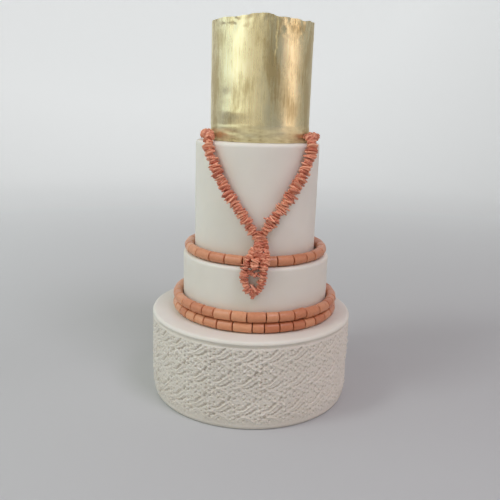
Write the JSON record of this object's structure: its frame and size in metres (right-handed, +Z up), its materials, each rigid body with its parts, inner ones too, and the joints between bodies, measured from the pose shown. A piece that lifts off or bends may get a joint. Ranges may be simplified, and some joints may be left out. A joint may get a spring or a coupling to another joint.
{
  "type": "wedding cake",
  "caption": "Tall tiered round wedding cake in white fondant with an embossed lace side, a slim gold top tier, coral bead strands and a draped chip necklace.",
  "frame": {"origin": "centre of the lowest tier's base, on the surface that the cake stands on", "axes": "+Z up through the tiers; the cake's front, where the necklace hangs, faces -Y"},
  "size_m": [0.2536, 0.254, 0.4575],
  "materials": {
    "fondant": "smooth white sugar paste, matt with a faint sheen",
    "gold": "edible gold, brushed upright, satin",
    "coral_bead": "coral orange tube beads, satin",
    "coral_chip": "darker coral chips, satin"
  },
  "bodies": {
    "root": {"tier_1_lace": "fondant", "tier_2": "fondant", "tier_3": "fondant", "tier_4_gold": "gold", "bead_strand_upper": "coral_bead", "bead_strand_middle": "coral_bead", "bead_strand_lower": "coral_bead", "chip_necklace": "coral_chip"}
  },
  "joints": []
}
